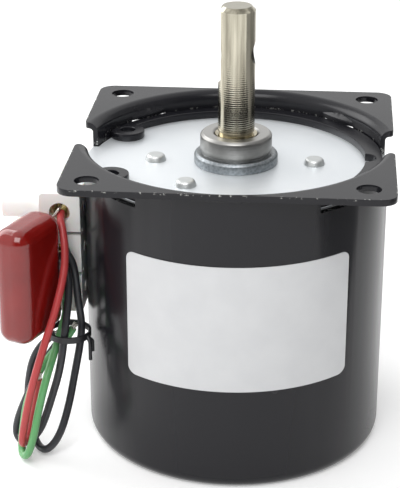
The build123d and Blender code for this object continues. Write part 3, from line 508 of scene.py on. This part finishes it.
# ------------------------------------------------------------------ bobbins
# Two spools moulded in glass-filled nylon, each held between a claw cup and a claw plate.
# The fibres make the nylon dull and a little grainy.
def moulded(name, code, rough, grain, scatter=0.0, reach=0.001):
    """Moulded plastic: one colour with a sparked grain in mm, cloudy flow and a little light inside."""
    material, tree = new_material(name)
    place = add(tree, "ShaderNodeTexCoord").outputs["Object"]
    flow = add(tree, "ShaderNodeTexNoise",
               {"Vector": place, "Scale": cells(9.1), "Detail": 3.0, "Distortion": 0.6})
    # the mould was sparked to a 0.1 mm grain, which is drawn coarser so that it shows
    spark = add(tree, "ShaderNodeTexNoise", {"Vector": place, "Scale": cells(grain), "Detail": 2.0})
    shade = add(tree, "ShaderNodeMapRange", {"Value": flow.outputs["Fac"], "To Min": 0.93, "To Max": 1.05})
    tint = add(tree, "ShaderNodeVectorMath", {0: linear(code)[:3], 1: shade.outputs[0]},
               operation="MULTIPLY")
    gloss = add(tree, "ShaderNodeMapRange",
                {"Value": spark.outputs["Fac"], "To Min": rough - 0.07, "To Max": rough + 0.07})
    relief = add(tree, "ShaderNodeBump",
                 {"Strength": 0.2, "Distance": 0.00002, "Height": spark.outputs["Fac"]})
    shader = add(tree, "ShaderNodeBsdfPrincipled",
                 {"Base Color": tint.outputs[0], "Roughness": gloss.outputs[0], "Normal": relief.outputs[0],
                  "Subsurface Weight": scatter, "Subsurface Scale": reach})
    add(tree, "ShaderNodeOutputMaterial", {"Surface": shader.outputs[0]})
    return material


spool_nylon = moulded("glass_filled_nylon", "#CFC8B4", 0.5, grain=0.3)
for name in ("bobbin_lower", "bobbin_upper"):
    dress(name, spool_nylon)


# ------------------------------------------------------------------ windings
# Each spool is wound full with thin copper wire in a brown-red lacquer. The lacquer gives
# the metal a wet coat over its coppery gloss.
def lacquered_copper():
    """Lacquered copper wire: turns side by side, drawn 0.4 mm apart because real 0.1 mm ones don't show."""
    material, tree = new_material("lacquered_copper")
    place = add(tree, "ShaderNodeTexCoord").outputs["Object"]
    turns = add(tree, "ShaderNodeTexWave",
                {"Vector": place, "Scale": bands(0.4), "Distortion": 0.6, "Detail": 2.0},
                bands_direction="Z")
    patch = add(tree, "ShaderNodeTexNoise", {"Vector": place, "Scale": cells(6.25), "Detail": 3.0})
    tint = add(tree, "ShaderNodeMix",
               {"Factor": patch.outputs["Fac"], "A": linear("#7A3015"), "B": linear("#C06A35")},
               data_type="RGBA")
    relief = add(tree, "ShaderNodeBump",
                 {"Strength": 0.8, "Distance": 0.0001, "Height": turns.outputs["Fac"]})
    shader = add(tree, "ShaderNodeBsdfPrincipled",
                 {"Base Color": tint.outputs["Result"], "Metallic": 0.85, "Roughness": 0.3,
                  "Normal": relief.outputs[0], "Coat Weight": 0.6, "Coat Roughness": 0.15})
    add(tree, "ShaderNodeOutputMaterial", {"Surface": shader.outputs[0]})
    return material


wire = lacquered_copper()
for name in ("winding_lower", "winding_upper"):
    dress(name, wire, edge=0)


# ------------------------------------------------------------------ rotor
# A sintered ferrite ring is glued on a moulded hub, which is pressed on a thin ground pin.
# The pin turns in two oil-filled sintered bronze bushes.
def sintered_ferrite():
    """Sintered ferrite: matt black-grey with open pores, drawn 0.4 mm wide so that they show."""
    material, tree = new_material("sintered_ferrite")
    place = add(tree, "ShaderNodeTexCoord").outputs["Object"]
    pores = add(tree, "ShaderNodeTexVoronoi", {"Vector": place, "Scale": cells(0.435)})
    pit = add(tree, "ShaderNodeMapRange", {"Value": pores.outputs["Distance"], "From Max": 0.25})
    ground = add(tree, "ShaderNodeTexNoise", {"Vector": place, "Scale": cells(2.0), "Detail": 4.0})
    tint = add(tree, "ShaderNodeMix",
               {"Factor": ground.outputs["Fac"], "A": linear("#232326"), "B": linear("#3E3E42")},
               data_type="RGBA")
    relief = add(tree, "ShaderNodeBump", {"Strength": 0.4, "Distance": 0.00003, "Height": pit.outputs[0]})
    shader = add(tree, "ShaderNodeBsdfPrincipled",
                 {"Base Color": tint.outputs["Result"], "Roughness": 0.5, "Metallic": 0.2,
                  "Normal": relief.outputs[0]})
    add(tree, "ShaderNodeOutputMaterial", {"Surface": shader.outputs[0]})
    return material


def turned_metal(name, light, dark, rough, centre, pitch, depth):
    """Turned metal: tool marks round an upright axis, on faces as rings and on walls as bands."""
    material, tree = new_material(name)
    place = add(tree, "ShaderNodeTexCoord").outputs["Object"]
    centred = add(tree, "ShaderNodeMapping", {"Vector": place, "Location": (-centre[0], -centre[1], 0.0)})
    # the lathe's real feed is about 0.1 mm a turn; pitch is coarser, so that the marks show
    tool = {"Vector": centred.outputs[0], "Scale": bands(pitch), "Distortion": 0.8, "Detail": 2.0}
    faces = add(tree, "ShaderNodeTexWave", tool, wave_type="RINGS", rings_direction="Z")
    walls = add(tree, "ShaderNodeTexWave", tool, bands_direction="Z")
    marks = add(tree, "ShaderNodeMath", {0: faces.outputs["Fac"], 1: walls.outputs["Fac"]},
                operation="MAXIMUM")
    cloud = add(tree, "ShaderNodeTexNoise", {"Vector": place, "Scale": cells(2.38), "Detail": 4.0})
    tint = add(tree, "ShaderNodeMix",
               {"Factor": cloud.outputs["Fac"], "A": linear(dark), "B": linear(light)}, data_type="RGBA")
    gloss = add(tree, "ShaderNodeMapRange",
                {"Value": cloud.outputs["Fac"], "To Min": rough - 0.06, "To Max": rough + 0.06})
    relief = add(tree, "ShaderNodeBump", {"Strength": 0.5, "Distance": depth, "Height": marks.outputs[0]})
    shader = add(tree, "ShaderNodeBsdfPrincipled",
                 {"Base Color": tint.outputs["Result"], "Metallic": 1.0, "Roughness": gloss.outputs[0],
                  "Normal": relief.outputs[0]})
    add(tree, "ShaderNodeOutputMaterial", {"Surface": shader.outputs[0]})
    return material


def sintered_bronze():
    """Sintered bronze: warm metal, darker in its oily pores, which are drawn 0.3 mm wide to show."""
    material, tree = new_material("sintered_bronze")
    place = add(tree, "ShaderNodeTexCoord").outputs["Object"]
    pores = add(tree, "ShaderNodeTexVoronoi", {"Vector": place, "Scale": cells(0.333)})
    pit = add(tree, "ShaderNodeMapRange", {"Value": pores.outputs["Distance"], "From Max": 0.3})
    tint = add(tree, "ShaderNodeMix",
               {"Factor": pit.outputs[0], "A": linear("#6E4A22"), "B": linear("#B98B4C")}, data_type="RGBA")
    relief = add(tree, "ShaderNodeBump", {"Strength": 0.5, "Distance": 0.00003, "Height": pit.outputs[0]})
    shader = add(tree, "ShaderNodeBsdfPrincipled",
                 {"Base Color": tint.outputs["Result"], "Metallic": 1.0, "Roughness": 0.42,
                  "Normal": relief.outputs[0]})
    add(tree, "ShaderNodeOutputMaterial", {"Surface": shader.outputs[0]})
    return material


axis_of = {joint["child"]: joint["pos_m"] for joint in frame["joints"]}
dress("rotor_magnet", sintered_ferrite(), edge=0.0003)
dress("rotor_hub", moulded("natural_nylon", "#E4E0D2", 0.38, grain=0.5, scatter=0.2), edge=0.00015)
ground_pin = turned_metal("ground_pin", "#D2D3D4", "#B2B4B6", 0.18, axis_of["rotor"],
                          pitch=0.3, depth=0.000002)
dress("rotor_shaft", ground_pin)
bush_bronze = sintered_bronze()
for name in ("rotor_bush_lower", "rotor_bush_upper"):
    dress(name, bush_bronze)


# ------------------------------------------------------------------ gear case and arbors
# The case is a deep cup in the plate's zinc. Hardened ground pins stand in its floor and
# are riveted over on the plate, which leaves low bright domes with a hammered skin.
def riveted_steel():
    """Steel headed over cold: pale and dull, dimpled by hammer blows a millimetre wide."""
    material, tree = new_material("riveted_steel")
    place = add(tree, "ShaderNodeTexCoord").outputs["Object"]
    blow = add(tree, "ShaderNodeTexVoronoi", {"Vector": place, "Scale": cells(1.11)}, feature="SMOOTH_F1")
    cloud = add(tree, "ShaderNodeTexNoise", {"Vector": place, "Scale": cells(2.0), "Detail": 3.0})
    tint = add(tree, "ShaderNodeMix",
               {"Factor": cloud.outputs["Fac"], "A": linear("#C4C7C7"), "B": linear("#DADCDB")},
               data_type="RGBA")
    relief = add(tree, "ShaderNodeBump",
                 {"Strength": 0.35, "Distance": 0.00006, "Height": blow.outputs["Distance"]})
    shader = add(tree, "ShaderNodeBsdfPrincipled",
                 {"Base Color": tint.outputs["Result"], "Metallic": 1.0, "Roughness": 0.46,
                  "Normal": relief.outputs[0]})
    add(tree, "ShaderNodeOutputMaterial", {"Surface": shader.outputs[0]})
    return material


dress("gear_case", zinc)
riveted = riveted_steel()
dress("gear_arbors", riveted)
dress("plate_pillar", riveted)
spacer_zinc = bare_metal("spacer_zinc", "#D2D4D2", "#AEB1B0", 0.35, cloud=2, grain=(1.25, 1.25, 0.417))
dress("arbor_spacers", spacer_zinc)


# ------------------------------------------------------------------ gear train
# Brass wheels and a brass rotor pinion, hobbed after turning, with hardened steel pinions
# pressed in. Turning left rings on the faces and the oil has tarnished the brass a little.
def hobbed_brass(body):
    """Hobbed brass: yellow metal gone brown in places, ringed by the lathe round its body's axis."""
    return turned_metal("hobbed_brass_" + body, "#D8B566", "#A9823C", 0.3, axis_of[body],
                        pitch=0.5, depth=0.000012)


def hobbed_steel(body):
    """Hobbed and hardened steel: darker grey than the pins, ringed by the lathe round its body's axis."""
    return turned_metal("hobbed_steel_" + body, "#A8AAAC", "#77797C", 0.32, axis_of[body],
                        pitch=0.4, depth=0.00001)


dress("rotor_pinion", hobbed_brass("rotor"), edge=0.00005)
for gear in ("gear_1", "gear_2"):
    dress(gear + "_wheel", hobbed_brass(gear), edge=0.00005)
    dress(gear + "_pinion", hobbed_steel(gear), edge=0.00005)
output_gear_steel = turned_metal("output_gear_steel", "#9EA0A2", "#6F7174", 0.34, axis_of["output"],
                                 pitch=0.6, depth=0.000012)
dress("output_gear", output_gear_steel, edge=0.00005)


# ------------------------------------------------------------------ output shaft
# Free-cutting steel, nickel bright with a warm cast, ground at the tip and left with the
# lathe's feed marks lower down. The D flat is milled and the cross hole drilled through it.
SHAFT_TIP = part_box("output_shaft")[1].z
BUSHING_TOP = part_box("output_bushing")[1].z
CROSS_HOLE_Z = SHAFT_TIP - 0.009
CROSS_HOLE_R = 0.00165
MARKS_FULL = 0.067
MARKS_GONE = 0.080
FOOT_TOP = BUSHING_TOP + 0.002
FACE_START = SHAFT_TIP - 0.00008
FACE_FULL = SHAFT_TIP - 0.00002
# the cross hole is coloured darker out to these distances from its axis
HOLE_DARK_FULL = CROSS_HOLE_R + 0.0004
HOLE_DARK_GONE = CROSS_HOLE_R + 0.0005


def turned_shaft():
    """Turned bright steel: thin upright streaks over feed marks, brassy with oil at the foot and darker in
    and round the cross hole.
    """
    material, tree = new_material("turned_shaft")
    place = add(tree, "ShaderNodeTexCoord").outputs["Object"]
    part = add(tree, "ShaderNodeSeparateXYZ", {0: place})
    # the tool fed 0.42 mm a turn, and grinding took its marks away towards the tip
    marks = add(tree, "ShaderNodeTexWave",
                {"Vector": place, "Scale": bands(0.42), "Distortion": 1.2, "Detail": 3.0,
                 "Detail Scale": 1.5}, bands_direction="Z")
    low = add(tree, "ShaderNodeMapRange",
              {"Value": part.outputs[2], "From Min": MARKS_FULL, "From Max": MARKS_GONE,
               "To Min": 1.0, "To Max": 0.15})
    height = add(tree, "ShaderNodeMath", {0: marks.outputs["Fac"], 1: low.outputs[0]}, operation="MULTIPLY")
    relief = add(tree, "ShaderNodeBump", {"Strength": 0.5, "Distance": 0.000016, "Height": height.outputs[0]})
    # wiping left upright streaks a millimetre wide and some 17 mm long
    draw = add(tree, "ShaderNodeMapping",
               {"Vector": place, "Scale": (cells(1.11), cells(1.11), cells(16.7))})
    streak = add(tree, "ShaderNodeTexNoise", {"Vector": draw.outputs[0], "Scale": 1.0, "Detail": 3.0})
    streak = add(tree, "ShaderNodeMapRange",
                 {"Value": streak.outputs["Fac"], "From Min": 0.35, "From Max": 0.65})
    tint = add(tree, "ShaderNodeMix",
               {"Factor": streak.outputs[0], "A": linear("#938E7F"), "B": linear("#C4BFAE")},
               data_type="RGBA")
    # oil at the bushing's mouth turns the foot of the shaft brassy
    foot = add(tree, "ShaderNodeMapRange",
               {"Value": part.outputs[2], "From Min": BUSHING_TOP, "From Max": FOOT_TOP,
                "To Min": 0.3, "To Max": 0.0})
    tint = add(tree, "ShaderNodeMix",
               {"Factor": foot.outputs[0], "A": tint.outputs["Result"], "B": linear("#C4B48C")},
               data_type="RGBA")
    # the tip was faced off dull
    face = add(tree, "ShaderNodeMapRange",
               {"Value": part.outputs[2], "From Min": FACE_START, "From Max": FACE_FULL})
    tint = add(tree, "ShaderNodeMix",
               {"Factor": face.outputs[0], "A": tint.outputs["Result"], "B": linear("#A8A495")},
               data_type="RGBA")
    # the cross hole, which runs along X, is coloured dark grey-brown inside and in a band 0.4 mm wide round
    # its mouth
    hole = add(tree, "ShaderNodeMapping",
               {"Vector": place, "Location": (0.0, 0.0, -CROSS_HOLE_Z), "Scale": (0.0, 1.0, 1.0)})
    radius = add(tree, "ShaderNodeVectorMath", {0: hole.outputs[0]}, operation="LENGTH")
    hole_darkening = add(tree, "ShaderNodeMapRange",
              {"Value": radius.outputs["Value"], "From Min": HOLE_DARK_FULL, "From Max": HOLE_DARK_GONE,
               "To Min": 1.0, "To Max": 0.0})
    tint = add(tree, "ShaderNodeMix",
               {"Factor": hole_darkening.outputs[0], "A": tint.outputs["Result"], "B": linear("#4A4740")},
               data_type="RGBA")
    gloss = add(tree, "ShaderNodeMapRange", {"Value": streak.outputs[0], "To Min": 0.2, "To Max": 0.12})
    shader = add(tree, "ShaderNodeBsdfPrincipled",
                 {"Base Color": tint.outputs["Result"], "Metallic": 1.0, "Roughness": gloss.outputs[0],
                  "Normal": relief.outputs[0]})
    add(tree, "ShaderNodeOutputMaterial", {"Surface": shader.outputs[0]})
    return material


dress("output_shaft", turned_shaft(), edge=0)
washer_zinc = bare_metal("washer_zinc", "#D2D4D2", "#AEB1B0", 0.35, cloud=2, grain=(1.11, 1.11, 1.11))
dress("output_washer", washer_zinc)
dress("output_clip", dipped_enamel)


# ------------------------------------------------------------------ output bushing
# Turned free-cutting steel with a smooth satin boss, pressed through the plate. Its lower
# flange was staked down and blasted with the plating, so it is paler and grainy.
SHOULDER = PLATE_TOP + 0.0021
FROST_FULL = SHOULDER - 0.0001
FROST_GONE = SHOULDER + 0.0003
FACED_START = BUSHING_TOP - 0.00015


def turned_bushing():
    """Turned steel: satin grey rings on the boss, a frosted flange below and a bright faced top."""
    material, tree = new_material("turned_bushing")
    place = add(tree, "ShaderNodeTexCoord").outputs["Object"]
    part = add(tree, "ShaderNodeSeparateXYZ", {0: place})
    marks = add(tree, "ShaderNodeTexWave",
                {"Vector": place, "Scale": bands(0.5), "Distortion": 1.5, "Detail": 2.0},
                bands_direction="Z")
    # the blasting left craters, drawn half a millimetre wide so that they show
    frost = add(tree, "ShaderNodeTexVoronoi", {"Vector": place, "Scale": cells(0.526)})
    cloud = add(tree, "ShaderNodeTexNoise", {"Vector": place, "Scale": cells(1.667), "Detail": 4.0})
    low = add(tree, "ShaderNodeMapRange",
              {"Value": part.outputs[2], "From Min": FROST_FULL, "From Max": FROST_GONE,
               "To Min": 1.0, "To Max": 0.0})
    satin = add(tree, "ShaderNodeMix",
                {"Factor": cloud.outputs["Fac"], "A": linear("#858482"), "B": linear("#9C9B98")},
                data_type="RGBA")
    pale = add(tree, "ShaderNodeMix",
               {"Factor": frost.outputs["Distance"], "A": linear("#71767A"), "B": linear("#9BA0A3")},
               data_type="RGBA")
    tint = add(tree, "ShaderNodeMix",
               {"Factor": low.outputs[0], "A": satin.outputs["Result"], "B": pale.outputs["Result"]},
               data_type="RGBA")
    height = add(tree, "ShaderNodeMix",
                 {"Factor": low.outputs[0], "A": marks.outputs["Fac"], "B": frost.outputs["Distance"]})
    relief = add(tree, "ShaderNodeBump", {"Strength": 0.4, "Distance": 0.00002, "Height": height.outputs[0]})
    # the top was faced bright with a sharper tool
    top = add(tree, "ShaderNodeMapRange",
              {"Value": part.outputs[2], "From Min": FACED_START, "From Max": BUSHING_TOP})
    tint = add(tree, "ShaderNodeMix",
               {"Factor": top.outputs[0], "A": tint.outputs["Result"], "B": linear("#ADACA9")},
               data_type="RGBA")
    gloss = add(tree, "ShaderNodeMapRange", {"Value": low.outputs[0], "To Min": 0.36, "To Max": 0.42})
    shader = add(tree, "ShaderNodeBsdfPrincipled",
                 {"Base Color": tint.outputs["Result"], "Metallic": 1.0, "Roughness": gloss.outputs[0],
                  "Normal": relief.outputs[0]})
    add(tree, "ShaderNodeOutputMaterial", {"Surface": shader.outputs[0]})
    return material


dress("output_bushing", turned_bushing(), edge=0.00015)


# ------------------------------------------------------------------ terminal block
# Three-way strip moulded in white nylon, held to the can by two screws. Nickelled brass
# tubes slide into its ways, each with two slotted clamping screws down its chimneys.
white_nylon = moulded("white_nylon", "#F0F0ED", 0.33, grain=0.6, scatter=0.15, reach=0.0008)
dress("terminal_block", white_nylon, edge=0.0003)
tube_nickel = bare_metal("nickelled_brass", "#DCD3B2", "#B9AC82", 0.28, cloud=3, grain=(1.43, 1.43, 1.43))
dress("terminal_inserts", tube_nickel)
screw_zinc = bare_metal("screw_zinc", "#D8D9D4", "#A9AAA5", 0.26, cloud=1.2, grain=(0.667, 0.667, 0.667))
dress("terminal_screws", screw_zinc)
dress("block_screws", screw_zinc)


# ------------------------------------------------------------------ capacitor
# Box-wound film capacitor dipped in red epoxy, which drew up thick over its rounded ends.
# Its tinned copper legs go straight into two ways of the block.
def dipped_epoxy():
    """Dipped epoxy: deep red and glossy, with soft waves, fine ripples and a few pinholes."""
    material, tree = new_material("dipped_epoxy")
    place = add(tree, "ShaderNodeTexCoord").outputs["Object"]
    # the dip sagged in waves 8 mm long, three times as high as its ripples, which are 1 mm long
    swell = add(tree, "ShaderNodeTexNoise", {"Vector": place, "Scale": cells(7.69), "Detail": 2.0})
    ripple = add(tree, "ShaderNodeTexNoise", {"Vector": place, "Scale": cells(1.11), "Detail": 2.0})
    # pinholes lie 4 mm apart
    hole = add(tree, "ShaderNodeTexVoronoi", {"Vector": place, "Scale": cells(3.85)})
    pinhole = add(tree, "ShaderNodeMapRange",
                  {"Value": hole.outputs["Distance"], "From Min": 0.02, "From Max": 0.07})
    height = add(tree, "ShaderNodeMath", {0: swell.outputs["Fac"], 1: 3.0, 2: ripple.outputs["Fac"]},
                 operation="MULTIPLY_ADD")
    height = add(tree, "ShaderNodeMath", {0: height.outputs[0], 1: pinhole.outputs[0]}, operation="ADD")
    relief = add(tree, "ShaderNodeBump", {"Strength": 0.25, "Distance": 0.00012, "Height": height.outputs[0]})
    tint = add(tree, "ShaderNodeMix",
               {"Factor": swell.outputs["Fac"], "A": linear("#6E0B08"), "B": linear("#8E1610")},
               data_type="RGBA")
    gloss = add(tree, "ShaderNodeMapRange", {"Value": ripple.outputs["Fac"], "To Min": 0.1, "To Max": 0.22})
    shader = add(tree, "ShaderNodeBsdfPrincipled",
                 {"Base Color": tint.outputs["Result"], "Roughness": gloss.outputs[0],
                  "Normal": relief.outputs[0], "Coat Weight": 0.5, "Coat Roughness": 0.06})
    add(tree, "ShaderNodeOutputMaterial", {"Surface": shader.outputs[0]})
    return material


dress("capacitor", dipped_epoxy(), edge=0)
dress("capacitor_legs", tinned, edge=0)


# ------------------------------------------------------------------ label
# White polyester film, cut with rounded corners, stuck to the can, laminated and left
# blank. It follows the curve of the can.
def laminated_film():
    """Laminated polyester film: white with a soft sheen, faintly mottled by the adhesive under it."""
    material, tree = new_material("laminated_film")
    place = add(tree, "ShaderNodeTexCoord").outputs["Object"]
    # the adhesive's mottle is 5 mm wide, and the film's own fine grain is drawn 0.4 mm wide to show
    mottle = add(tree, "ShaderNodeTexNoise", {"Vector": place, "Scale": cells(5.26), "Detail": 4.0})
    fibre = add(tree, "ShaderNodeTexNoise", {"Vector": place, "Scale": cells(0.417), "Detail": 2.0})
    tint = add(tree, "ShaderNodeMix",
               {"Factor": mottle.outputs["Fac"], "A": linear("#C8C9CB"), "B": linear("#D6D7D8")},
               data_type="RGBA")
    relief = add(tree, "ShaderNodeBump",
                 {"Strength": 0.08, "Distance": 0.00002, "Height": fibre.outputs["Fac"]})
    gloss = add(tree, "ShaderNodeMapRange", {"Value": mottle.outputs["Fac"], "To Min": 0.36, "To Max": 0.48})
    shader = add(tree, "ShaderNodeBsdfPrincipled",
                 {"Base Color": tint.outputs["Result"], "Roughness": gloss.outputs[0],
                  "Normal": relief.outputs[0]})
    add(tree, "ShaderNodeOutputMaterial", {"Surface": shader.outputs[0]})
    return material


dress("label", laminated_film(), edge=0)


# ------------------------------------------------------------------ twist tie
# A steel wire in a flat black plastic strip, wound once round the hank and twisted. The
# strip creases where it turns, so its gloss comes and goes.
dress("twist_tie", moulded("tie_strip", "#1B1C1F", 0.4, grain=0.4), edge=0)
